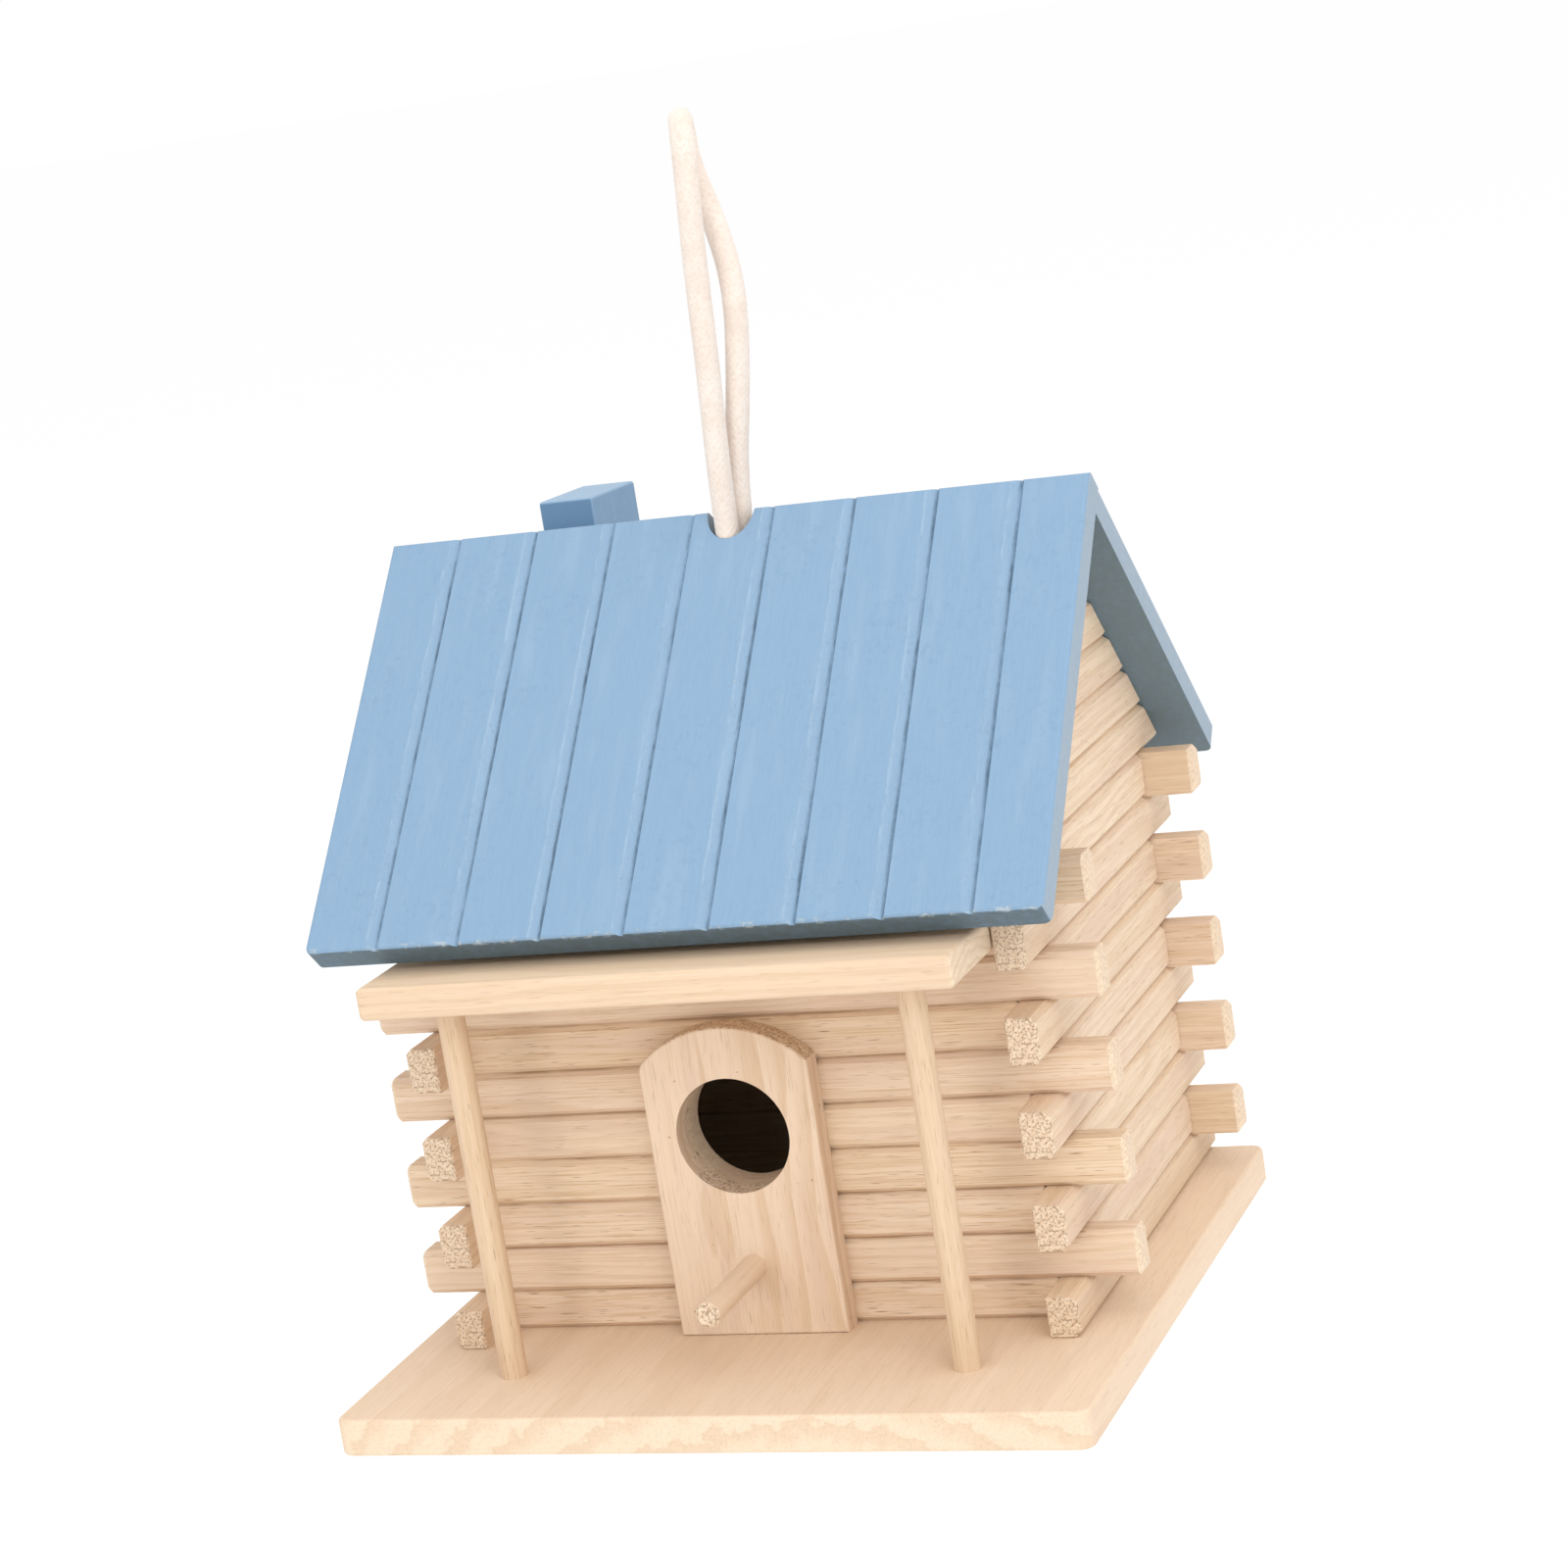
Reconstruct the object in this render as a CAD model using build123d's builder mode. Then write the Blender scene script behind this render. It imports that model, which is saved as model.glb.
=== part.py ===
"""Hanging log-cabin birdhouse: pine logs laid in crossing courses, a painted plank roof and a rope loop.

The frame's origin is the point where a hook holds the rope loop, with +Z up and the door facing -Y.
The house is drawn in its own plane, `house`: its zero is the middle of the log walls, on the top face
of the base board. The rope's route is given in the frame itself.
"""

from build123d import *
from math import atan2, degrees, pi, radians, sqrt, tan
import os

os.makedirs("parts", exist_ok=True)

# ------------------------------------------------------------------ driving dimensions, mm

# How the house hangs below the hook
loop_rise = 89.0  # from the ridge up to the underside of the rope at the hook
hook_side = 3.4  # the hook stands this far to the right of the house's middle
ridge_z = 186.5  # the ridge above the base board
ridge_y = -3.5  # the roof sits a little forward of the walls' middle

# Log walls
course = 11.0  # height of one course of logs
first_course = 9.5  # the bottom course is planed down
wall_courses = 10  # full courses of all four walls, below the gables
front_courses = 12
back_courses = 11
gable_courses = 16
log_t = 7.5  # thickness of a log
wall_x = 78.0  # from the middle to the outer face of a side wall
wall_y = 53.5  # from the middle to the outer face of the front and back walls
over = 12.5  # how far a long log runs past the wall that it crosses
log_chamfer = 1.3  # along a log's outer face, so that two logs meet in a V groove
side_log_end = 0.4  # easing round the side logs' ends
cross_log_end = 1.0  # easing round the front and back logs' ends

# Base board with its clean-out opening
base_t = 9.0
base_x = 182.0
base_front, base_back = -108.5, 64.5
base_corner = 3.5
base_edge = 1.0
cleanout_x, cleanout_y, cleanout_r = 54.0, 42.0, 6.0

# Clean-out cover, which swings on one screw and hooks behind the other
cover_x, cover_y, cover_t, cover_r = 80.0, 64.0, 3.0, 8.0
cover_gap = 0.2
pivot = (-33.0, -25.0)
keeper = (33.0, 25.0)
hook_sweep = 12.0  # degrees of the curved slot that the keeper screw leaves by
pivot_clearance = 0.08
keeper_clearance = 0.4
screw_r = 1.5
screw_depth = 7.0
screw_head_r, screw_head_t, screw_head_round = 3.0, 1.8, 0.7
screw_head_gap = 0.15
slot_length, slot_width, slot_depth = 3.4, 0.8, 0.9  # one bar of the cross recess

# Brads up through the base board
brad_r = 0.7
brad_head_r, brad_head_t = 1.4, 0.8
brad_bite = 7.0  # in the log or post above
brad_inset = 40.0  # of the side walls' brads, from the middle
brad_spread = 50.0  # of the front and back walls' brads, from the middle

# Roof: two square-edged panels butted at the ridge, each planed with grooves like planks
roof_run = 81.0  # from the ridge to the front eave, level; the roof falls at 45 degrees
roof_back_run = 79.2  # from the ridge to the back eave
roof_half = 89.5
roof_t = 7.0
roof_corner = 2.0
roof_edge = 1.0
roof_clear = 0.1  # between the underside of the roof and the log ends cut to it
plank = 20.6
plank_shift = 1.0
groove_count = 8
groove_flank, groove_wall, groove_depth = 2.6, 0.7, 1.1

# Rope, the hole that it comes out of, and the knot inside
rope_r = 2.9
rope_hole_r = 6.0
rope_hole_x = 0.7  # the hole was drilled this far right of the middle
knot_r = 8.5
knot_drop = 22.2  # from the ridge down to the knot's middle
knot_top = 16.0  # from the ridge down to the flat where the rope meets the knot
tail_length = 12.0
tail_spread = 14.0  # degrees from straight down

# Chimney
chimney_w, chimney_d = 14.5, 28.0
chimney_x = -50.5
chimney_front = 19.5  # behind the ridge
chimney_top = 3.9  # above the ridge
chimney_fall = 0.7  # its top drops this much towards the back
chimney_edge = 0.8

# Door panel, entrance hole and perch
front_x = -1.0  # door, hole and perch share this centre line
door_w, door_h, door_t = 42.0, 75.3, 6.5
door_shoulder = 66.5
door_edge = 0.6
door_soft = 4.0  # the left shoulder is sanded round
hole_r = 14.0
hole_z = 49.0
perch_r = 3.0
perch_z = 17.0
perch_out = 31.0
perch_bite = 5.5  # in the log behind the door panel
perch_edge = 0.5

# Porch
post_r = 3.2
post_x = 56.0
post_y = -82.3
porch_left, porch_right = -73.0, 70.2
porch_z = 91.1
porch_t = 7.7
porch_out = 41.0  # how far the porch roof stands out from the front wall
porch_edge = 1.3

# ------------------------------------------------------------------ derived places and helpers

house = Plane(origin=(-hook_side, -ridge_y, -(loop_rise + ridge_z)))
side = Plane(house.location * Plane.YZ.location)  # seen from the right: back is +x, up is +y
front = Plane(house.location * Plane.XZ.location)  # seen from the front: right is +x, up is +y
roof_step = roof_t / sqrt(2)  # a panel's thickness as seen along Y or Z
under_ridge = ridge_z - 2 * roof_step  # where the two undersides meet
inner_x = wall_x - log_t
inner_y = wall_y - log_t
down = (Align.CENTER, Align.CENTER, Align.MAX)
up = (Align.CENTER, Align.CENTER, Align.MIN)


def course_z(n):
    """Bottom and top of course n, counted from 1."""
    top = first_course + (n - 1) * course
    return (0.0 if n == 1 else top - course), top


def write(part, label):
    part.label = label
    export_step(part, f"parts/{label}.step")


def cross_bar(radius, x, z, y0, y1, mode=Mode.ADD):
    """A round bar along Y from y0 back to y1, or the hole for it."""
    with Locations((x, y0, z)):
        Cylinder(radius, y1 - y0, rotation=(-90, 0, 0), align=up, mode=mode)


def keep_under_roof():
    """Cuts the part being built to the space under the roof."""
    peak = house.from_local_coords((0, ridge_y, under_ridge - roof_clear))
    for s in (-1, 1):
        split(bisect_by=Plane(origin=peak, z_dir=(0, s, 1)), keep=Keep.BOTTOM)


brad_points = [(s * (wall_x - log_t / 2), y) for s in (-1, 1) for y in (-brad_inset, brad_inset)]
brad_points += [(x, s * (wall_y - log_t / 2)) for s in (-1, 1) for x in (-brad_spread, brad_spread)]
brad_points += [(-post_x, post_y), (post_x, post_y)]


def brads(mode=Mode.ADD):
    """The brads, or the holes that they fill."""
    with Locations(*[(x, y, -base_t) for x, y in brad_points]):
        Cylinder(brad_head_r, brad_head_t, align=up, mode=mode)
        Cylinder(brad_r, base_t + brad_bite, align=up, mode=mode)


# ------------------------------------------------------------------ base board, brads and clean-out cover

with BuildPart(house) as base_board:
    with BuildSketch(house):
        with Locations((0, (base_front + base_back) / 2)):
            RectangleRounded(base_x, base_back - base_front, base_corner)
    extrude(amount=-base_t)
    fillet(base_board.faces().filter_by(Axis.Z).edges(), base_edge)
    with BuildSketch(house):
        RectangleRounded(cleanout_x, cleanout_y, cleanout_r)
    extrude(amount=-base_t, mode=Mode.SUBTRACT)
    brads(Mode.SUBTRACT)
    with Locations((*pivot, -base_t), (*keeper, -base_t)):
        Cylinder(screw_r, screw_depth, align=up, mode=Mode.SUBTRACT)
write(base_board.part, "base_board")

with BuildPart(house) as base_brads:
    brads()
write(base_brads.part, "base_brads")

cover_top = -base_t - cover_gap
screw_arm = Vector(*keeper) - Vector(*pivot)
slot_arc = CenterArc(pivot, screw_arm.length, degrees(atan2(screw_arm.Y, screw_arm.X)), hook_sweep)

with BuildPart(house) as cleanout_cover:
    with BuildSketch(house.offset(cover_top)):
        RectangleRounded(cover_x, cover_y, cover_r)
        with Locations(pivot):
            Circle(screw_r + pivot_clearance, mode=Mode.SUBTRACT)
        SlotArc(slot_arc, 2 * (screw_r + keeper_clearance), mode=Mode.SUBTRACT)
    extrude(amount=-cover_t)
write(cleanout_cover.part, "cleanout_cover")

head_z = cover_top - cover_t - screw_head_gap
with BuildPart(house) as cover_screws:
    with Locations((*pivot, head_z), (*keeper, head_z)):
        Cylinder(screw_r, screw_depth - base_t - head_z, align=up)
        Cylinder(screw_head_r, screw_head_t, align=down)
    fillet(cover_screws.faces().filter_by(Axis.Z).group_by(Axis.Z)[0].edges(), screw_head_round)
    with Locations((*pivot, head_z - screw_head_t), (*keeper, head_z - screw_head_t)):
        Box(slot_length, slot_width, slot_depth, align=up, mode=Mode.SUBTRACT)
        Box(slot_width, slot_length, slot_depth, align=up, mode=Mode.SUBTRACT)
write(cover_screws.part, "cover_screws")

# ------------------------------------------------------------------ log walls


def make_log(n, x, y, sloped=False):
    """One log of course n over the plan ranges x and y, with a chamfered outer face and eased ends."""
    z = course_z(n)
    axis, across, end = (Axis.Y, Axis.X, side_log_end)
    outer = -1 if x[0] + x[1] > 0 else 0
    if x[1] - x[0] > y[1] - y[0]:
        axis, across, end = (Axis.X, Axis.Y, cross_log_end)
        outer = -1 if y[0] + y[1] > 0 else 0
    with BuildPart(house) as log:
        with Locations(((x[0] + x[1]) / 2, (y[0] + y[1]) / 2, z[0])):
            Box(x[1] - x[0], y[1] - y[0], z[1] - z[0], align=up)
        if sloped:
            keep_under_roof()
        chamfer(log.edges().filter_by(axis).group_by(across)[outer], log_chamfer)
        chamfer(log.edges().filter_by(axis, reverse=True), end)
        if n == 1:
            brads(Mode.SUBTRACT)
        if y[0] == -wall_y and y[1] == -inner_y:
            cross_bar(hole_r, front_x, hole_z, -wall_y, -inner_y, Mode.SUBTRACT)
            cross_bar(perch_r, front_x, perch_z, -wall_y, perch_bite - wall_y, Mode.SUBTRACT)
    return log.part


def cross_log(n, outer, inner, reach=0.0):
    """A front or back log. Even courses run past the side walls, odd ones stand between them."""
    half = reach or (inner_x if n % 2 else wall_x + over)
    return make_log(n, (-half, half), (min(outer, inner), max(outer, inner)), n > back_courses)


def side_log(n, s, front_over=over):
    """A side log, on the left for s = -1. Odd courses run past the front and back walls."""
    x = (s * inner_x, s * wall_x)
    y = (-wall_y - front_over, wall_y + over) if n % 2 else (-inner_y, inner_y)
    if n == front_courses:
        y = (-inner_y, wall_y + over)
    if n > front_courses:
        y = (-wall_y - over, wall_y + over)
    return make_log(n, (min(x), max(x)), y, n > wall_courses)


for n in range(1, front_courses + 1):
    reach = wall_x if n == front_courses else 0.0
    write(cross_log(n, -wall_y, -inner_y, reach), f"front_log_{n:02d}")

for n in range(1, back_courses + 1):
    write(cross_log(n, wall_y, inner_y), f"back_log_{n:02d}")

for name, s in (("left", -1), ("right", 1)):
    for n in range(1, wall_courses + 1):
        behind_porch = name == "left" and course_z(n)[0] < porch_z < course_z(n)[1]
        write(side_log(n, s, 0.0 if behind_porch else over), f"{name}_log_{n:02d}")
    gable = [side_log(n, s) for n in range(wall_courses + 1, gable_courses + 1)]
    write(Compound([log.solid() for log in gable]), f"{name}_gable_logs")

# ------------------------------------------------------------------ door panel and perch

with BuildPart(house) as door_panel:
    with BuildSketch(front.offset(wall_y)):
        with BuildLine():
            left, right = front_x - door_w / 2, front_x + door_w / 2
            Polyline((left, door_shoulder), (left, 0), (right, 0), (right, door_shoulder))
            ThreePointArc((right, door_shoulder), (front_x, door_h), (left, door_shoulder))
        make_face()
    extrude(amount=door_t)
    shoulders = door_panel.edges().filter_by(Axis.Y).group_by(Axis.Z)[-1]
    fillet(shoulders.sort_by(Axis.X)[0], door_soft)
    fillet(door_panel.faces().sort_by(Axis.Y)[0].edges(), door_edge)
    for radius, z in ((hole_r, hole_z), (perch_r, perch_z)):
        cross_bar(radius, front_x, z, -wall_y - door_t, -wall_y, Mode.SUBTRACT)
write(door_panel.part, "door_panel")

with BuildPart(house) as perch:
    cross_bar(perch_r, front_x, perch_z, -wall_y - door_t - perch_out, perch_bite - wall_y)
    chamfer(perch.edges().filter_by(GeomType.CIRCLE), perch_edge)
write(perch.part, "perch")

# ------------------------------------------------------------------ porch

for name, s in (("left", -1), ("right", 1)):
    with BuildPart(house) as post:
        with Locations((s * post_x, post_y, 0)):
            Cylinder(post_r, porch_z, align=up)
        brads(Mode.SUBTRACT)
    write(post.part, f"porch_post_{name}")

with BuildPart(house) as porch_roof:
    with Locations(((porch_left + porch_right) / 2, -wall_y - porch_out / 2, porch_z)):
        Box(porch_right - porch_left, porch_out, porch_t, align=up)
    fillet(porch_roof.edges(), porch_edge)
write(porch_roof.part, "porch_roof")

# ------------------------------------------------------------------ roof panels and chimney

groove = ((-groove_flank, 0), (0, -groove_depth), (groove_wall, 0))
groove_points = [(plank_shift + (i - (groove_count - 1) / 2) * plank, 0) for i in range(groove_count)]
ridge = house.offset(ridge_z).origin + Vector(0, ridge_y, 0)


def make_roof_panel(s, start, run, label):
    """The front panel for s = -1 or the back one for s = 1, from `start` to `run` away from the ridge, level."""
    outward = Axis((0, 0, 0), (0, s, 1))
    with BuildPart(house) as panel:
        with BuildSketch(side.offset(-roof_half)):
            top = (ridge_y + s * start, ridge_z - start)
            eave = (ridge_y + s * run, ridge_z - run)
            inward = (-s * roof_step, -roof_step)
            under = [(y + inward[0], z + inward[1]) for y, z in (eave, top)]
            Polygon(top, eave, *under, align=None)
        extrude(amount=2 * roof_half)
        corners = panel.edges().filter_by(outward).sort_by(Axis.Z)
        fillet(corners[:2], roof_corner)
        outer_face = panel.faces().filter_by(outward).sort_by(outward)[-1]
        fillet(outer_face.edges(), roof_edge)
        with BuildSketch(Plane(origin=ridge, x_dir=(1, 0, 0), z_dir=(0, -1, s))):
            with Locations(*groove_points):
                Polygon(*groove, align=None)
        extrude(amount=2 * roof_run, both=True, mode=Mode.SUBTRACT)
        with Locations((rope_hole_x, ridge_y, ridge_z)):
            Cylinder(rope_hole_r, 2 * roof_run, mode=Mode.SUBTRACT)
    write(panel.part, label)


make_roof_panel(-1, 0.0, roof_run, "roof_front_panel")
make_roof_panel(1, roof_step, roof_back_run, "roof_back_panel")

with BuildPart(house) as chimney:
    with BuildSketch(side.offset(chimney_x - chimney_w / 2)):
        y0, y1 = ridge_y + chimney_front, ridge_y + chimney_front + chimney_d
        z0 = ridge_z - chimney_front
        z1 = ridge_z + chimney_top
        Polygon((y0, z0), (y1, z0 - chimney_d), (y1, z1 - chimney_fall), (y0, z1), align=None)
    extrude(amount=chimney_w)
    fillet(chimney.edges().filter_by(Axis.Z), chimney_edge)
    fillet(chimney.faces().sort_by(Axis.Z)[-1].edges(), chimney_edge)
write(chimney.part, "chimney")

# ------------------------------------------------------------------ rope loop and its knot

rope_points = [
    (-3.5, -2.9, -105.0),
    (-3.5, -2.9, -86.0),
    (-1.7, -3.3, -56.0),
    (-0.3, -4.2, -28.0),
    (1.3, -5.3, -10.0),
    (2.0, -5.6, 0.2),
    (0.0, 0.0, 3.75),
    (-2.0, 5.6, 0.2),
    (-1.4, 5.4, -9.0),
    (2.6, 4.6, -21.0),
    (5.5, 3.8, -37.0),
    (3.3, 3.3, -57.0),
    (-2.2, 2.9, -86.0),
    (-2.2, 2.9, -105.0),
]


def bend_radii(points):
    """The largest tangent arc at each corner: 0.45 of the shorter run over the tangent of half the turn."""
    radii = []
    for a, b, c in zip(points, points[1:], points[2:]):
        before, after = Vector(*b) - Vector(*a), Vector(*c) - Vector(*b)
        half_turn = radians(before.get_angle(after) / 2)
        radii.append(0.45 * min(before.length, after.length) / tan(half_turn))
    return radii


rope_radii = bend_radii(rope_points)
with BuildPart() as hanging_rope:
    with BuildLine() as route:
        FilletPolyline(*rope_points, radius=rope_radii)
    with BuildSketch(Plane(origin=route.line @ 0, z_dir=route.line % 0)):
        Circle(rope_r)
    sweep()
write(hanging_rope.part, "hanging_rope")
print("rope bend radii, mm:", [round(r, 1) for r in rope_radii])
rope_length = route.wires()[0].length
print("rope length, mm:", round(rope_length, 1))
tube_volume = pi * rope_r**2 * rope_length
print("rope volume over section times length:", round(hanging_rope.part.volume / tube_volume, 4))

with BuildPart(house) as rope_knot:
    with Locations((rope_hole_x, ridge_y, ridge_z - knot_drop)):
        Sphere(knot_r)
        for turn in (-tail_spread, tail_spread):
            Cylinder(rope_r, knot_r + tail_length, rotation=(0, turn, 0), align=down)
    split(bisect_by=house.offset(ridge_z - knot_top), keep=Keep.BOTTOM)
write(rope_knot.part, "rope_knot")
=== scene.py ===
"""Looks of the hanging log-cabin birdhouse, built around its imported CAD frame. Lengths are in metres."""
import math
import random

import bpy
import numpy as np
from mathutils import Matrix, Vector


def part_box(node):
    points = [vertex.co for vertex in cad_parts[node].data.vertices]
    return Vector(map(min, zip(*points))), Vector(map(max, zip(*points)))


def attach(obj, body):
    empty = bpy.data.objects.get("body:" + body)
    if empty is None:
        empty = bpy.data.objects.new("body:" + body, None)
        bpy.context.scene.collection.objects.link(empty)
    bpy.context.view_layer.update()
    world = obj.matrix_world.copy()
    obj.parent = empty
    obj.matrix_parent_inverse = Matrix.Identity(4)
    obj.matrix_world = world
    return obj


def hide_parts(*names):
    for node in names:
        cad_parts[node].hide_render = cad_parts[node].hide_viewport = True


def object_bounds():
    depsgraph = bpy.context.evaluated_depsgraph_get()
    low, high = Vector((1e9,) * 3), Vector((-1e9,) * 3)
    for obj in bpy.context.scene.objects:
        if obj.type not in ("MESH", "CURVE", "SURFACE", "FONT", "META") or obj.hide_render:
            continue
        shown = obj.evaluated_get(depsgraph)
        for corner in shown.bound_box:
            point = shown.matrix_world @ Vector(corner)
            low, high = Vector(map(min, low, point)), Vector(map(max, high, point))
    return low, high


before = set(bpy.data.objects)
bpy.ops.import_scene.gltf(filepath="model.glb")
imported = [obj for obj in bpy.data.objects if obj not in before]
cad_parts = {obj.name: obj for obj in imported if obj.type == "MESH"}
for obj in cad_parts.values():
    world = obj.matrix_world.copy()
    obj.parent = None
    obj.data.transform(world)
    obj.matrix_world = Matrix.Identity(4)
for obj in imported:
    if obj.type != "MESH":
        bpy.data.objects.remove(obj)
cad_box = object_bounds()

MM = 0.001
HOUSE = "house"  # the body that everything but the clean-out cover rides on

# ------------------------------------------------------------------ camera

CAMERA_PLACE = Vector((0.3256, -0.8218, 0.0265))
CAMERA_AZIMUTH, CAMERA_ELEVATION, CAMERA_ROLL = (math.radians(a) for a in (21.64, 11.71, -9.02))
CAMERA_LENS = 86.0


def add_camera():
    camera = bpy.data.objects.new("camera", bpy.data.cameras.new("camera"))
    bpy.context.scene.collection.objects.link(camera)
    camera.data.lens = CAMERA_LENS
    flat = math.cos(CAMERA_ELEVATION)
    back = Vector((math.sin(CAMERA_AZIMUTH) * flat, -math.cos(CAMERA_AZIMUTH) * flat,
                   math.sin(CAMERA_ELEVATION)))
    level = (-back).to_track_quat("-Z", "Y").to_matrix().to_4x4()
    camera.matrix_world = Matrix.Translation(CAMERA_PLACE) @ level @ Matrix.Rotation(CAMERA_ROLL, 4, "Z")
    bpy.context.scene.camera = camera


add_camera()

# ------------------------------------------------------------------ shader graphs


class Graph:
    """A new material's node tree, with a short call for each kind of node that the materials here use."""

    def __init__(self, name):
        self.material = bpy.data.materials.new(name)
        self.material.use_nodes = True
        self.tree = self.material.node_tree
        self.shader = self.tree.nodes["Principled BSDF"]

    def put(self, socket, value):
        if isinstance(value, bpy.types.NodeSocket):
            self.tree.links.new(value, socket)
        else:
            socket.default_value = value

    def node(self, kind, inputs, **settings):
        made = self.tree.nodes.new("ShaderNode" + kind)
        for key, value in settings.items():
            setattr(made, key, value)
        for key, value in inputs.items():
            self.put(made.inputs[key], value)
        return made

    def math(self, operation, a, b=0.0):
        return self.node("Math", {0: a, 1: b}, operation=operation).outputs[0]

    def vector(self, operation, a, b):
        return self.node("VectorMath", {0: a, 1: b}, operation=operation).outputs["Vector"]

    def dot(self, a, b):
        return self.node("VectorMath", {0: a, 1: b}, operation="DOT_PRODUCT").outputs["Value"]

    def combine(self, x, y, z):
        return self.node("CombineXYZ", {0: x, 1: y, 2: z}).outputs[0]

    def noise(self, place, detail=2.0, roughness=0.5):
        """Soft noise of about one feature for each unit of place."""
        return self.node("TexNoise", {"Vector": place, "Scale": 1.0, "Detail": detail,
                                      "Roughness": roughness}).outputs["Fac"]

    def between(self, value, low, high):
        """0 on low's side, 1 on high's side, and a smooth step between them. low may be the larger one."""
        return self.node("MapRange", {"Value": value, "From Min": low, "From Max": high},
                         interpolation_type="SMOOTHSTEP").outputs["Result"]

    def mix(self, share, a, b):
        return self.node("Mix", {0: share, 6: a, 7: b}, data_type="RGBA").outputs[2]

    def grown(self, vector, scale):
        return self.node("VectorMath", {0: vector, "Scale": scale}, operation="SCALE").outputs["Vector"]

    def place_from(self, centre):
        """The texture coordinates node, and the place on the object in mm from a centre given in metres."""
        coordinates = self.node("TexCoord", {})
        offset = self.vector("SUBTRACT", coordinates.outputs["Object"], tuple(centre))
        return coordinates, self.grown(offset, 1 / MM)

    def bump(self, height, depth, strength):
        normal = self.node("Bump", {"Height": height, "Distance": depth, "Strength": strength}).outputs[0]
        self.put(self.shader.inputs["Normal"], normal)

    def finish(self, color, roughness, **fixed):
        self.put(self.shader.inputs["Base Color"], color)
        self.put(self.shader.inputs["Roughness"], roughness)
        for key, value in fixed.items():
            self.shader.inputs[key.replace("_", " ")].default_value = value
        return self.material


def tint(red, green, blue):
    """A colour given in the 0 to 255 steps of a screen, as the linear RGBA that the shaders use."""
    def linear(step):
        share = step / 255
        return share / 12.92 if share <= 0.04045 else ((share + 0.055) / 1.055) ** 2.4
    return linear(red), linear(green), linear(blue), 1.0


# ------------------------------------------------------------------ wood

GRAIN_ORDER = {"X": (0, 1, 2), "Y": (1, 0, 2), "Z": (2, 0, 1)}  # along the grain, then the two ways across

PINE_LIGHT = tint(229, 207, 181)
PINE_LATE = tint(204, 174, 141)
PINE_ROSE = tint(212, 184, 164)
PINE_FLECK = tint(160, 126, 96)
# The colour of the dark specks, and of the painted shade in the V grooves between logs
PINE_SPECK_AND_SEAM_SHADE = tint(150, 112, 80)
PINE_END = tint(226, 204, 178)
PINE_END_PORE = tint(128, 96, 70)

WOOD_RELIEF = 0.14 * MM
FIRST_COURSE, COURSE = 9.5, 11.0  # mm: the bottom course of logs, and each one above it
WALL_HALF_X, WALL_HALF_Y = 78.0, 53.5  # mm from the middle to the outer faces of the log walls


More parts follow.
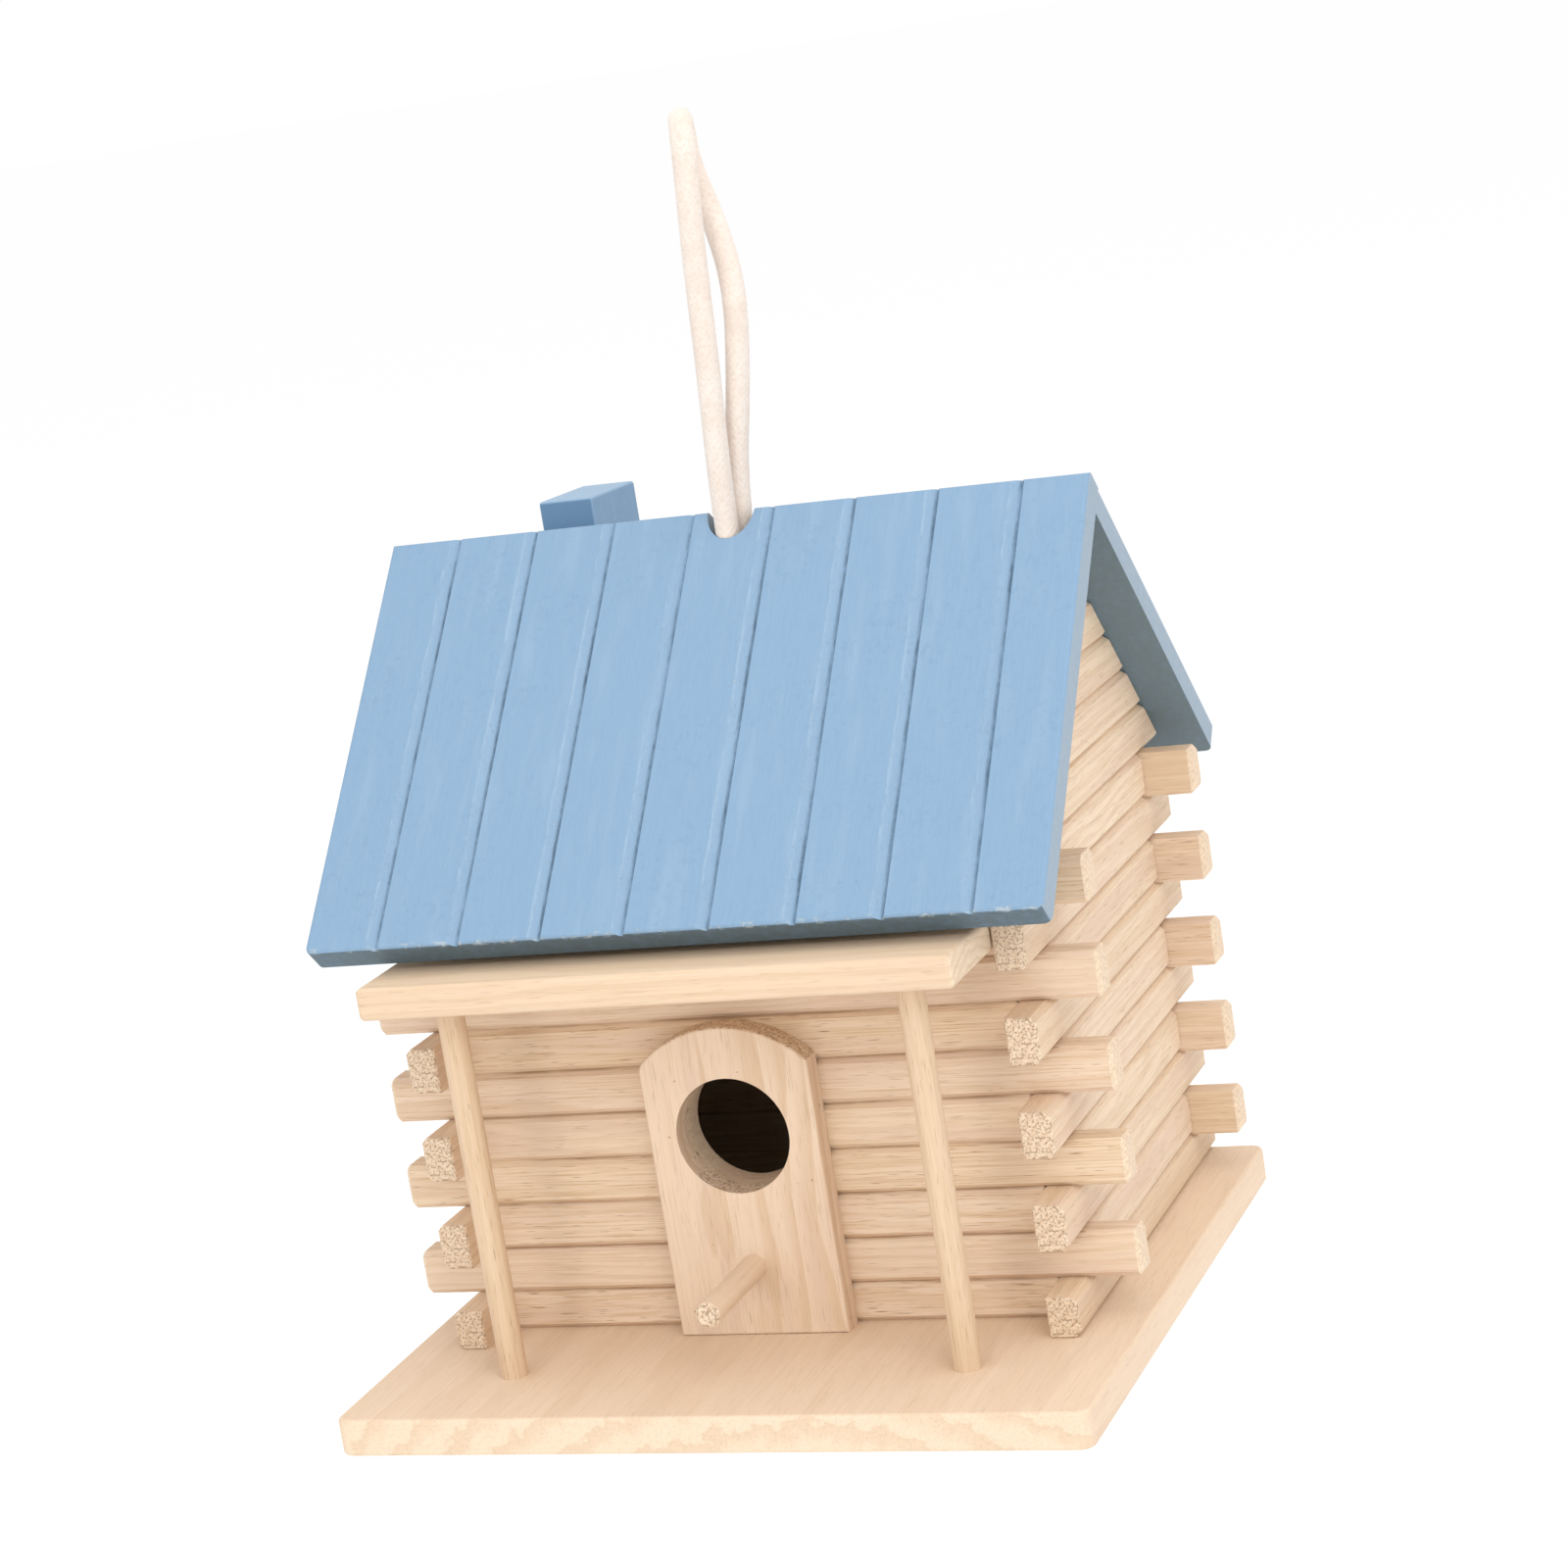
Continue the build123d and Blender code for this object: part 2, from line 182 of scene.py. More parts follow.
def wood(name, grain, centre, seed, ring=2.4, streak=1.0, end_speckle=1.0, ring_show=0.35, patch=0.5,
         end_ring=0.45, seam=None, seam_show=1.0, tone=0.0, specks=0.0):
    """Bare wood sawn from a tree whose rings stand `ring` mm apart, with its grain along an axis.

    ring_show, streak, patch and specks say how strongly the rings, the fine streaks, the rosy patches and the dark
    dots show along the grain, and end_ring and end_speckle do for the rings and pores of the sawn ends. A larger
    tone is a darker piece. `seam` is the half length in mm of the wall that a log is laid in: there its chamfers
    get painted shade, by seam_show, where they meet the next log and the V groove between them lies in shade.
    """
    g = Graph(name)
    draw = random.Random(seed)
    coordinates, place = g.place_from(centre)
    split = g.node("SeparateXYZ", {0: place}).outputs
    along, across, rise = (split[i] for i in GRAIN_ORDER[grain])
    shift = [draw.uniform(-500, 500) for _ in range(3)]

    def stretched(per_across, per_along, detail=2.0, roughness=0.5, turn=0.0):
        """Noise with so many features a millimetre across the grain and along it."""
        return g.noise(g.combine(
            g.math("ADD", g.math("MULTIPLY", along, per_along), shift[0] + turn),
            g.math("ADD", g.math("MULTIPLY", across, per_across), shift[1]),
            g.math("ADD", g.math("MULTIPLY", rise, per_across), shift[2])), detail, roughness)

    pith_turn, pith_far = draw.uniform(0, 2 * math.pi), draw.uniform(9, 30) * ring / 2.4
    wander = g.math("MULTIPLY", g.math("SUBTRACT", stretched(0.03, 0.012, turn=7), 0.5), 9.0)
    pith_x = g.math("ADD", g.math("ADD", across, pith_far * math.cos(pith_turn)), wander)
    pith_y = g.math("ADD", g.math("ADD", rise, pith_far * math.sin(pith_turn)), wander)
    distance = g.math("SQRT", g.math("ADD", g.math("MULTIPLY", pith_x, pith_x),
                                     g.math("MULTIPLY", pith_y, pith_y)))
    rings = g.math("ADD", g.math("DIVIDE", distance, ring), stretched(0.25, 0.02, turn=31))
    share = g.math("FRACT", rings)
    late = g.math("MULTIPLY", g.between(share, 0.25, 0.88), g.between(share, 1.0, 0.9))

    fine = stretched(2.6, 0.05, detail=3.0, roughness=0.6)
    broad = stretched(0.16, 0.012, detail=1.0, turn=57)
    fleck = g.between(stretched(3.6, 0.16, detail=1.0, turn=91), 0.64, 0.74)

    color = g.mix(tone + draw.uniform(0.0, 0.30), PINE_LIGHT, PINE_ROSE if draw.random() < 0.5 else PINE_LATE)
    color = g.mix(g.math("MULTIPLY", late, ring_show), color, PINE_LATE)
    color = g.mix(g.math("MULTIPLY", g.between(broad, 0.48, 0.70), patch), color, PINE_ROSE)
    color = g.mix(g.math("MULTIPLY", g.between(fine, 0.46, 0.70), 0.62 * streak), color, PINE_LATE)
    color = g.mix(g.math("MULTIPLY", fleck, 0.42 * streak), color, PINE_FLECK)

    if specks:
        dots = g.between(g.noise(g.vector("ADD", g.vector("MULTIPLY", place, (1.1, 1.1, 0.6)),
                                          tuple(shift)), 0.0), 0.83, 0.86)
        color = g.mix(g.math("MULTIPLY", dots, specks), color, PINE_SPECK_AND_SEAM_SHADE)

    normal = g.node("SeparateXYZ", {0: coordinates.outputs["Normal"]}).outputs
    # Painted shade: the chamfers darken along each course line, where the V groove between two logs lies in shade
    if seam:
        first_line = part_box("base_board")[1].z / MM + FIRST_COURSE - centre.z / MM
        courses = g.math("ADD", g.math("DIVIDE", g.math("SUBTRACT", rise, first_line), COURSE), 0.5)
        off_course = g.math("ABSOLUTE", g.math("SUBTRACT", g.math("FRACT", courses), 0.5))
        off_line = g.math("MULTIPLY", off_course, COURSE)
        seam_shade_band = g.between(off_line, 0.60, 0.10)
        seam_shade_band = g.math("MULTIPLY", seam_shade_band, g.between(g.math("ABSOLUTE", normal[2]), 0.95, 0.80))
        seam_shade_band = g.math("MULTIPLY", seam_shade_band, g.between(g.math("ABSOLUTE", along), seam + 0.5, seam - 0.5))
        ragged = g.between(stretched(0.4, 0.05, detail=3.0, turn=113), 0.36, 0.62)
        show = g.math("ADD", g.math("MULTIPLY", ragged, 0.60 * seam_show), 0.10 * seam_show)
        color = g.mix(g.math("MULTIPLY", seam_shade_band, show), color, PINE_SPECK_AND_SEAM_SHADE)

    cells = g.noise(g.vector("MULTIPLY", place, (1.5, 1.5, 1.5)), 2.0, 0.7)
    pores = g.between(cells, 0.50, 0.60)
    end_color = g.mix(g.math("MULTIPLY", late, end_ring), PINE_END, PINE_LATE)
    end_color = g.mix(g.math("MULTIPLY", pores, 0.62 * end_speckle), end_color, PINE_END_PORE)
    end = g.between(g.math("ABSOLUTE", normal["XYZ".index(grain)]), 0.60, 0.70)
    color = g.mix(end, color, end_color)

    side_height = g.math("ADD", g.math("MULTIPLY", fine, 0.6), g.math("MULTIPLY", fleck, -0.35))
    end_height = g.math("MULTIPLY", pores, -0.8 * end_speckle)
    g.bump(g.node("Mix", {0: end, 2: side_height, 3: end_height}).outputs[0], WOOD_RELIEF, 0.6)
    rough = g.math("ADD", g.math("MULTIPLY", fine, 0.16), 0.58)
    return g.finish(color, rough, Specular_IOR_Level=0.3)


PLY_PAIR = 1.0  # mm: the thickness of one light and one dark ply


def plywood(name, centre):
    """Thin plywood: a birch face on each side, and plies that show as lines along its edges."""
    g = Graph(name)
    coordinates, place = g.place_from(centre)
    split = g.node("SeparateXYZ", {0: place}).outputs
    broad = g.noise(g.vector("MULTIPLY", place, (0.02, 0.10, 0.1)), 2.0)
    fine = g.noise(g.vector("MULTIPLY", place, (0.12, 3.0, 3.0)), 3.0, 0.6)
    color = g.mix(g.between(broad, 0.35, 0.7), tint(226, 198, 160), tint(206, 172, 130))
    color = g.mix(g.math("MULTIPLY", g.between(fine, 0.5, 0.75), 0.35), color, tint(170, 134, 96))
    plies = g.math("SINE", g.math("MULTIPLY", split[2], 2 * math.pi / PLY_PAIR))
    edge_color = g.mix(g.between(plies, -0.3, 0.3), tint(214, 180, 138), tint(150, 112, 76))
    facing = g.node("SeparateXYZ", {0: coordinates.outputs["Normal"]}).outputs[2]
    edge = g.between(g.math("ABSOLUTE", facing), 0.7, 0.5)
    g.bump(fine, 0.08 * MM, 0.5)
    return g.finish(g.mix(edge, color, edge_color), 0.62, Specular_IOR_Level=0.3)


# ------------------------------------------------------------------ blue paint

PAINT = tint(127, 157, 184)
PAINT_LOW = tint(116, 146, 174)
# Pale paint for brush streaks and wear, also used as painted light on lit groove sides, groove rims and the
# chimney top
PAINT_PALE_AND_LIT = tint(150, 175, 197)
# Painted shade on the chimney's front face
PAINT_CHIMNEY_SHADE = tint(100, 133, 164)
# Groove bottoms: paint pooled there, together with painted shade
PAINT_POOLED_AND_SHADED = tint(76, 101, 122)
# Painted light on the roof panels' end faces, and painted shade on their underside and eave face
PAINT_END_LIT = tint(150, 165, 178)
PAINT_UNDER_SHADE = tint(103, 121, 129)
PAINT_EAVE_SHADE = tint(86, 104, 114)
PAINT_CHIP = tint(196, 202, 202)

# All in mm
PLANK = 20.6  # from one groove to the next
PLANK_SHIFT = 1.0  # how far the grooves stand off the panel's middle
FLANK = 2.6  # the width of a groove's sloping side
ROOF_STEP = 4.95  # a roof panel's thickness is this times the square root of 2

PAINT_RELIEF = 0.16 * MM


def painted(name, centre, down, outward):
    """The start of a painted material.

    It gives the graph, the texture coordinates node, the place in mm along X, down the face and out of it, a noise
    that is stretched down the face, a fine mottle, and brushed paint's colour and height.
    """
    g = Graph(name)
    coordinates, place = g.place_from(centre)
    level, run, depth = (g.dot(place, tuple(axis)) for axis in ((1, 0, 0), down, outward))

    def stretched(per_level, per_run, detail=2.0, roughness=0.5):
        return g.noise(g.combine(g.math("MULTIPLY", level, per_level), g.math("MULTIPLY", run, per_run),
                                 g.math("MULTIPLY", depth, per_level)), detail, roughness)

    grain = stretched(2.2, 0.16, 4.0, 0.62)
    brushed = stretched(0.22, 0.03, 2.0)
    mottle = g.noise(g.vector("MULTIPLY", place, (0.5, 0.5, 0.5)), 6.0, 0.75)
    blotch = g.noise(g.vector("MULTIPLY", place, (0.045, 0.045, 0.045)), 3.0, 0.6)
    color = g.mix(g.math("MULTIPLY", g.between(grain, 0.44, 0.78), 0.45), PAINT, PAINT_LOW)
    color = g.mix(g.math("MULTIPLY", g.between(brushed, 0.50, 0.75), 0.22), color, PAINT_PALE_AND_LIT)
    patchy = g.math("MULTIPLY", g.between(mottle, 0.50, 0.66), g.between(blotch, 0.40, 0.62))
    color = g.mix(g.math("MULTIPLY", patchy, 0.55), color, PAINT_LOW)
    height = g.math("ADD", g.math("MULTIPLY", grain, 0.7), g.math("MULTIPLY", mottle, 0.5))
    return g, coordinates, (level, run, depth), stretched, mottle, color, height


def finish_paint(g, color, height, mottle):
    g.bump(height, PAINT_RELIEF, 0.7)
    return g.finish(color, g.math("ADD", g.math("MULTIPLY", mottle, 0.2), 0.48), Specular_IOR_Level=0.35)


def roof_paint(name, node, back):
    """Powder-blue paint on a roof panel: painted light on the ends, painted shade on the underside and eave face,
    groove bottoms darkened by pooled paint and painted shade, and paint worn pale along the edges.
    """
    low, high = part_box(node)
    half_thick = ROOF_STEP / math.sqrt(2)
    half_size = (high - low) / 2 / MM
    eave_run = (half_size.y + half_size.z) / math.sqrt(2) - half_thick
    outward = Vector((0, back, 1)).normalized()
    down = Vector((0, back, -1)).normalized()
    g, coordinates, (level, run, depth), stretched, mottle, color, height = painted(
        name, (low + high) / 2, down, outward)

    normal = coordinates.outputs["Normal"]
    facing = g.dot(normal, tuple(outward))
    to_end = g.math("ABSOLUTE", g.dot(normal, (1, 0, 0)))
    to_eave = g.dot(normal, tuple(down))
    # Painted light and shade on the faces other than the outer one: lighter ends, a darker underside and eave face
    rim_light_and_shade = g.mix(g.between(to_end, 0.6, 0.75), PAINT_UNDER_SHADE, PAINT_END_LIT)
    rim_light_and_shade = g.mix(g.between(to_eave, 0.6, 0.75), rim_light_and_shade, PAINT_EAVE_SHADE)
    rim_light_and_shade = g.mix(g.between(to_eave, -0.6, -0.75), rim_light_and_shade, PAINT)
    rim_light_and_shade = g.mix(g.math("MULTIPLY", g.between(mottle, 0.4, 0.7), 0.30), rim_light_and_shade, PAINT_LOW)
    outer = g.between(facing, 0.40, 0.55)
    color = g.mix(outer, rim_light_and_shade, color)

    turns = g.math("DIVIDE", g.math("SUBTRACT", level, PLANK_SHIFT), PLANK)
    side = g.math("MULTIPLY", g.math("SUBTRACT", g.math("FRACT", turns), 0.5), PLANK)
    ragged = stretched(0.9, 0.22, 4.0, 0.75)
    fading = stretched(0.07, 0.035, 3.0, 0.6)
    wobble = g.math("MULTIPLY", g.math("SUBTRACT", stretched(0.3, 0.12, 3.0, 0.7), 0.5), 1.2)
    near_rim = g.between(g.math("ABSOLUTE", g.math("ADD", g.math("ADD", side, FLANK), wobble)), 0.55, 0.10)
    near_rim = g.math("MULTIPLY", near_rim, outer)
    lit_flank = g.math("MULTIPLY", g.between(side, -FLANK, 0.4 - FLANK), g.between(side, 0.3, 0.0))
    lit_flank = g.math("MULTIPLY", lit_flank, outer)
    rubbed_and_lit = g.between(g.math("ADD", ragged, g.math("SUBTRACT", fading, 0.5)), 0.38, 0.60)
    worn_and_highlit = g.math("MULTIPLY", near_rim, rubbed_and_lit)
    bottom_start = g.between(g.math("ADD", side, g.math("MULTIPLY", wobble, 0.45)), -0.85, -0.25)
    shaded_bottom = g.math("MULTIPLY", bottom_start, g.between(side, 0.60, 0.20))
    chips = g.math("MULTIPLY", g.math("MAXIMUM", near_rim, g.math("MULTIPLY", lit_flank, 0.8)),
                   g.between(stretched(1.7, 0.8, 3.0, 0.75), 0.63, 0.69))
    eave = g.math("MULTIPLY", g.between(g.math("ADD", run, g.math("MULTIPLY", wobble, 0.8)),
                                        eave_run - 1.0, eave_run - 0.5),
                  g.between(depth, half_thick - 0.9, half_thick - 0.3))
    eave_worn = g.math("MULTIPLY", eave, g.between(stretched(0.30, 0.45, 4.0, 0.7), 0.50, 0.62))
    # Painted light: each groove's sloping side, which faces the key light, is lighter
    color = g.mix(g.math("MULTIPLY", lit_flank, g.math("MULTIPLY", ragged, 0.30)), color, PAINT_PALE_AND_LIT)
    # A pale line along each groove's rim, partly paint worn there and partly a painted highlight
    color = g.mix(g.math("MULTIPLY", worn_and_highlit, 0.60), color, PAINT_PALE_AND_LIT)
    color = g.mix(g.math("MULTIPLY", chips, 0.50), color, PAINT_CHIP)
    line_show = g.math("ADD", g.math("MULTIPLY", g.between(fading, 0.35, 0.65), 0.45),
                       g.math("MULTIPLY", g.between(ragged, 0.35, 0.65), 0.55))
    # Each groove's bottom darkened, partly as pooled paint and partly as painted shade
    color = g.mix(g.math("MULTIPLY", g.math("MULTIPLY", shaded_bottom, outer), line_show), color, PAINT_POOLED_AND_SHADED)
    color = g.mix(g.math("MULTIPLY", eave_worn, 0.45), color, PAINT_CHIP)
    height = g.math("ADD", height, g.math("MULTIPLY", worn_and_highlit, 0.5))
    height = g.math("SUBTRACT", height, g.math("MULTIPLY", g.math("MAXIMUM", chips, eave_worn), 1.2))
    return finish_paint(g, color, height, mottle)


def chimney_paint(name, node):
    """The same paint on the chimney, with painted shade on the face towards the front, painted light on top, and
    paler along the edges.
    """
    low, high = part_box(node)
    g, coordinates, _, _, mottle, color, height = painted(name, (low + high) / 2, (0, 0, -1), (0, -1, 0))
    facing = g.node("SeparateXYZ", {0: coordinates.outputs["Normal"]}).outputs
    upright = g.math("MAXIMUM", g.math("ABSOLUTE", facing[1]), facing[2])
    edge = g.between(g.math("MAXIMUM", g.math("ABSOLUTE", facing[0]), upright), 0.97, 0.80)
    # Painted shade on the face towards the front
    color = g.mix(g.math("MULTIPLY", g.between(facing[1], -0.7, -0.95), 0.85), color, PAINT_CHIMNEY_SHADE)
    # Painted light on the top face
    color = g.mix(g.math("MULTIPLY", g.between(facing[2], 0.6, 0.95), 0.85), color, PAINT_PALE_AND_LIT)
    color = g.mix(g.math("MULTIPLY", edge, 0.5), color, PAINT_PALE_AND_LIT)
    return finish_paint(g, color, height, mottle)


# ------------------------------------------------------------------ steel and cotton


def steel(name):
    g = Graph(name)
    place = g.node("TexCoord", {}).outputs["Object"]
    patches = g.noise(g.grown(place, 900.0), 4.0, 0.7)
    color = g.mix(g.between(patches, 0.3, 0.7), tint(196, 198, 200), tint(158, 160, 160))
    g.bump(patches, 0.03 * MM, 0.5)
    return g.finish(color, g.math("ADD", g.math("MULTIPLY", patches, 0.25), 0.25), Metallic=1.0)


def cotton(name):
    g = Graph(name)
    place = g.node("TexCoord", {}).outputs["Object"]
    fibres = g.noise(g.grown(place, 5200.0), 3.0, 0.7)
    patches = g.noise(g.grown(place, 160.0), 2.0)
    color = g.mix(g.between(patches, 0.3, 0.7), tint(234, 222, 211), tint(228, 213, 201))
    yarns = g.noise(g.grown(place, 1100.0), 2.0, 0.6)
    color = g.mix(g.math("MULTIPLY", g.between(yarns, 0.48, 0.66), 0.40), color, tint(214, 194, 176))
    color = g.mix(g.math("MULTIPLY", g.between(fibres, 0.45, 0.8), 0.25), color, tint(210, 192, 176))
    g.bump(fibres, 0.12 * MM, 0.8)
    return g.finish(color, 0.92, Sheen_Weight=0.35, Sheen_Roughness=0.5, Specular_IOR_Level=0.2)


# ------------------------------------------------------------------ rope

ROPE_RADIUS = 2.9 * MM
ROPE_ROUTE = [  # mm, from inside the ridge, over the hook and back in
    (-3.5, -2.9, -105.0),
    (-3.5, -2.9, -86.0),
    (-1.7, -3.3, -56.0),
    (-0.3, -4.2, -28.0),
    (1.3, -5.3, -10.0),
    (2.0, -5.6, 0.2),
    (0.0, 0.0, 3.75),
    (-2.0, 5.6, 0.2),
    (-1.4, 5.4, -9.0),
    (2.6, 4.6, -21.0),
    (5.5, 3.8, -37.0),
    (3.3, 3.3, -57.0),
    (-2.2, 2.9, -86.0),
    (-2.2, 2.9, -105.0),
]
YARNS = 11  # in each direction of the braid
YARN_PITCH = 1.7 * MM  # along the rope, from one yarn to the next
YARN_RELIEF = 0.24 * MM
RING_STEP = 0.24 * MM  # between two rings of points along a cord's surface
RING_POINTS = 66

# The knot under the ridge, from its top down
WRAP_RADIUS = 5.6 * MM
WRAP_TURNS = 2.3
WRAP_TOP, WRAP_FALL = -3.0 * MM, 8.4 * MM
WRAP_STEPS = 28
WRAP_CORD = 2.5 * MM  # the cord's radius, pulled tight in the wraps
TAIL_CORD = 2.6 * MM
TAIL_APART = 2.8 * MM  # each end's distance from the middle
TAIL_FLARE = 0.18  # how far the cut ends fray out


def nurbs_line(name, route):
    """Points along the smooth line that has the route's points as its control points."""
    curve = bpy.data.curves.new(name, "CURVE")
    curve.dimensions = "3D"
    spline = curve.splines.new("NURBS")
    spline.points.add(len(route) - 1)
    for point, place in zip(spline.points, route):
        point.co = (*place, 1.0)
    spline.order_u = 3
    spline.use_endpoint_u = True
    spline.resolution_u = 48
    holder = bpy.data.objects.new(name, curve)
    mesh = bpy.data.meshes.new_from_object(holder)
    line = np.array([v.co for v in mesh.vertices], float)
    bpy.data.objects.remove(holder)
    bpy.data.meshes.remove(mesh)
    bpy.data.curves.remove(curve)
    return line


def evenly(line, step):
    """The same line with its points a fixed step apart, and how far along it each one is."""
    far = np.concatenate([[0.0], np.cumsum(np.linalg.norm(np.diff(line, axis=0), axis=1))])
    count = max(int(round(far[-1] / step)), 2)
    at = np.linspace(0.0, far[-1], count + 1)
    return np.stack([np.interp(at, far, line[:, i]) for i in range(3)], 1), at


def sideways(points):
    """Two unit vectors across the line at each point, carried along it without twist."""
    ahead = np.gradient(points, axis=0)
    ahead /= np.linalg.norm(ahead, axis=1)[:, None]
    side = np.cross(ahead[0], (0.3, 1.0, 0.2))
    sides = []
    for direction in ahead:
        side = side - direction * np.dot(side, direction)
        side /= np.linalg.norm(side)
        sides.append(side)
    sides = np.array(sides)
    return sides, np.cross(ahead, sides)


def braid_height(turn, far):
    """How far a plain braid's yarns stand out, as a share, at an angle round the cord and a way along it."""
    slope = far / YARN_PITCH
    u = YARNS * turn / (2 * math.pi) + slope
    v = YARNS * turn / (2 * math.pi) - slope
    crown_u = np.sqrt(np.clip(1 - (1.7 * (u - np.floor(u) - 0.5)) ** 2, 0, 1))
    crown_v = np.sqrt(np.clip(1 - (1.7 * (v - np.floor(v) - 0.5)) ** 2, 0, 1))
    over_u = np.sin(math.pi * v) * (1 - 2 * (np.floor(u) % 2)) * 0.5
    over_v = -np.sin(math.pi * u) * (1 - 2 * (np.floor(v) % 2)) * 0.5
    return np.maximum(crown_u + over_u, crown_v + over_v) / 1.5


def cord_mesh(line, radius, flare=0.0):
    """Rings of points round a line, as a braided cord's surface: (points, faces)."""
    points, far = evenly(line, RING_STEP)
    across, up = sideways(points)
    turn = np.arange(RING_POINTS) / RING_POINTS * 2 * math.pi
    height = braid_height(turn[None, :], far[:, None])
    wide = radius * (1 + flare * np.clip((far - far[-1]) / (3 * radius) + 1, 0, 1) ** 2)
    out = wide[:, None] - YARN_RELIEF * (1 - height)
    ring = np.cos(turn)[None, :, None] * across[:, None, :] + np.sin(turn)[None, :, None] * up[:, None, :]
    places = (points[:, None, :] + out[:, :, None] * ring).reshape(-1, 3)
    rows = len(points)
    start = np.arange(rows - 1)[:, None] * RING_POINTS
    here = start + np.arange(RING_POINTS)[None, :]
    beside = start + (np.arange(RING_POINTS)[None, :] + 1) % RING_POINTS
    faces = np.stack([here, beside, beside + RING_POINTS, here + RING_POINTS], -1).reshape(-1, 4).tolist()
    faces.append(list(range(RING_POINTS))[::-1])
    faces.append(list(range((rows - 1) * RING_POINTS, rows * RING_POINTS)))
    return places, faces


def add_piece(name, parts, material, body=HOUSE):
    """One object from (points, faces) parts, shaded smooth, that rides on a body."""
    points, faces, start = [], [], 0
    for places, rings in parts:
        points.extend(map(tuple, places))
        faces.extend([[i + start for i in face] for face in rings])
        start += len(places)
    mesh = bpy.data.meshes.new(name)
    mesh.from_pydata(points, [], faces)
    mesh.polygons.foreach_set("use_smooth", [len(f) < 6 for f in faces])
    mesh.update()
    mesh.materials.append(material)
    piece = bpy.data.objects.new(name, mesh)
    bpy.context.scene.collection.objects.link(piece)
    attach(piece, body)
    return piece


def add_rope():
    cotton_look = cotton("cotton")
    line = nurbs_line("rope_line", [Vector(p) * MM for p in ROPE_ROUTE])
    rope = add_piece("rope", [cord_mesh(line, ROPE_RADIUS)], cotton_look)
    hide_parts("hanging_rope")

    low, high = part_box("rope_knot")
    centre = Vector(((low.x + high.x) / 2, (low.y + high.y) / 2, high.z))
    coil = []
    for i in range(WRAP_STEPS + 1):
        share = i / WRAP_STEPS
        turn = 2 * math.pi * WRAP_TURNS * share
        pull = WRAP_RADIUS * (1 - 0.75 * max(0.0, abs(share - 0.5) * 2 - 0.85) / 0.15)  # both ends tuck in
        coil.append((centre.x + pull * math.cos(turn), centre.y + pull * math.sin(turn),
                     centre.z + WRAP_TOP - WRAP_FALL * share))
    parts = [cord_mesh(nurbs_line("wrap_line", coil), WRAP_CORD)]
    tail = low.z - centre.z
    for side in (-1, 1):
        apart = side * TAIL_APART
        route = [(centre.x + apart, centre.y, centre.z),
                 (centre.x + apart * 0.9, centre.y, centre.z - 6 * MM),
                 (centre.x + apart * 0.7, centre.y + side * MM, centre.z - 12 * MM),
                 (centre.x + apart * 1.3, centre.y + side * MM, centre.z + tail * 0.7),
                 (centre.x + apart * 2.0, centre.y, centre.z + tail * 0.98)]
        parts.append(cord_mesh(nurbs_line("tail_line", route), TAIL_CORD, flare=TAIL_FLARE))
    knot = add_piece("knot", parts, cotton_look)
    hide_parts("rope_knot")


add_rope()

# ------------------------------------------------------------------ materials of the CAD pieces


def dress(node, material):
    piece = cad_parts[node]
    piece.data.materials.clear()
    piece.data.materials.append(material)


def middle(node):
    low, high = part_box(node)
    return (low + high) / 2


def dress_wood(node, grain, seed, **look):
    dress(node, wood(node, grain, middle(node), seed, **look))


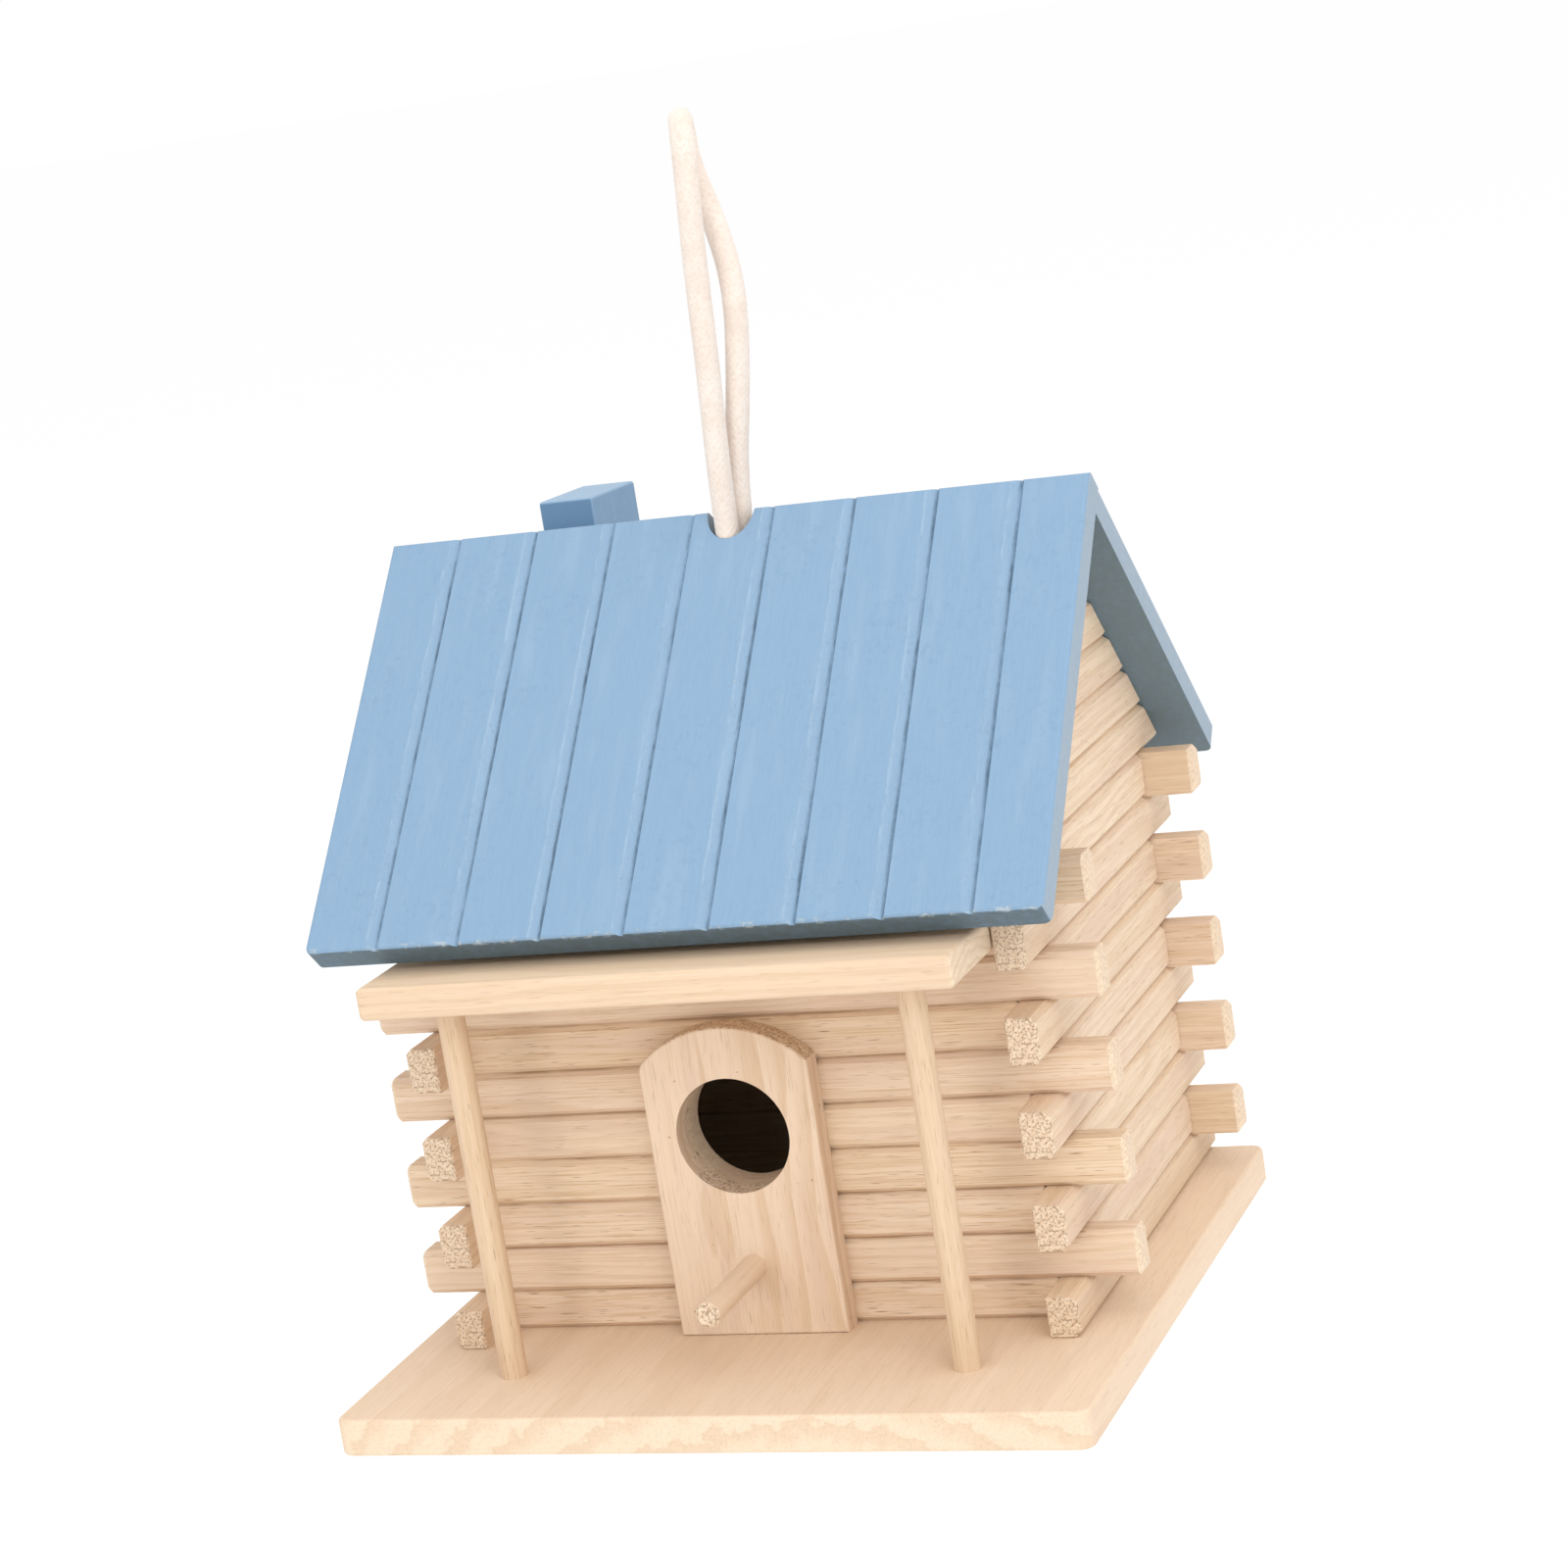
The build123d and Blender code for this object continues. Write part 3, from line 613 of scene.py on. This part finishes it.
def dress_house():
    for seed, node in enumerate(sorted(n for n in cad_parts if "_log" in n)):
        if node.startswith(("front", "back")):
            dress_wood(node, "X", seed, end_speckle=0.35, end_ring=0.25, seam=WALL_HALF_X, tone=0.15,
                       streak=1.0 + 0.5 * (seed % 3))
        elif "gable" in node:
            dress_wood(node, "Y", seed, end_speckle=0.3, seam=2 * WALL_HALF_Y, seam_show=0.35)
        else:
            dress_wood(node, "Y", seed, seam=WALL_HALF_Y, seam_show=0.35)
    dress_wood("base_board", "Y", 201, ring=9.0, streak=0.5, end_speckle=0.15, ring_show=0.2, patch=0.1,
               end_ring=0.4)
    dress_wood("door_panel", "Z", 202, ring=4.0, streak=0.8, ring_show=0.6, specks=0.8)
    dress_wood("porch_roof", "X", 203, streak=0.6, end_speckle=0.2, patch=0.2, tone=0.22)
    dress_wood("porch_post_left", "Z", 204, streak=1.4, patch=0.4, tone=0.5)
    dress_wood("porch_post_right", "Z", 205, streak=1.2, patch=0.3, tone=0.5)
    dress_wood("perch", "Y", 206, streak=0.3, ring_show=0.15, patch=0.1)
    dress("cleanout_cover", plywood("cover_plywood", middle("cleanout_cover")))
    dress("roof_front_panel", roof_paint("front_roof_paint", "roof_front_panel", -1))
    dress("roof_back_panel", roof_paint("back_roof_paint", "roof_back_panel", 1))
    dress("chimney", chimney_paint("chimney_paint", "chimney"))
    zinc = steel("zinc")
    dress("cover_screws", zinc)
    dress("base_brads", zinc)


dress_house()

# ------------------------------------------------------------------ floor and light

FLOOR_DROP = 0.42  # below the house
FLOOR_RADIUS = 60.0


def add_floor():
    """A plain white floor, so wide that its edge lies on the horizon."""
    level = cad_box[0].z - FLOOR_DROP
    around = 128
    turns = [2 * math.pi * i / around for i in range(around)]
    points = [(FLOOR_RADIUS * math.cos(t), FLOOR_RADIUS * math.sin(t), level) for t in turns]
    mesh = bpy.data.meshes.new("floor")
    mesh.from_pydata(points, [], [list(range(around))])
    floor = bpy.data.objects.new("floor", mesh)
    bpy.context.scene.collection.objects.link(floor)
    g = Graph("floor_paper")
    mesh.materials.append(g.finish(tint(254, 254, 254), 0.9, Specular_IOR_Level=0.0))


def add_light(name, place, aim, size, power):
    lamp = bpy.data.lights.new(name, "AREA")
    lamp.energy, lamp.size = power, size
    holder = bpy.data.objects.new(name, lamp)
    bpy.context.scene.collection.objects.link(holder)
    holder.location = place
    holder.rotation_mode = "QUATERNION"
    holder.rotation_quaternion = (Vector(aim) - Vector(place)).to_track_quat("-Z", "Y")


def add_studio():
    low, high = cad_box
    aim = (low + high) / 2
    add_floor()
    add_light("key", aim + Vector((1.3, -1.35, 1.25)), aim, 1.1, 11.5)
    add_light("front", aim + Vector((-0.25, -1.9, 0.35)), aim, 0.6, 5)
    add_light("top", aim + Vector((0.4, -0.2, 1.9)), aim, 1.6, 10)
    world = bpy.data.worlds.new("studio")
    world.use_nodes = True
    world.node_tree.nodes["Background"].inputs["Color"].default_value = (1.0, 1.0, 1.0, 1.0)
    world.node_tree.nodes["Background"].inputs["Strength"].default_value = 1.0
    bpy.context.scene.world = world
    bpy.context.scene.view_settings.view_transform = "Standard"


add_studio()
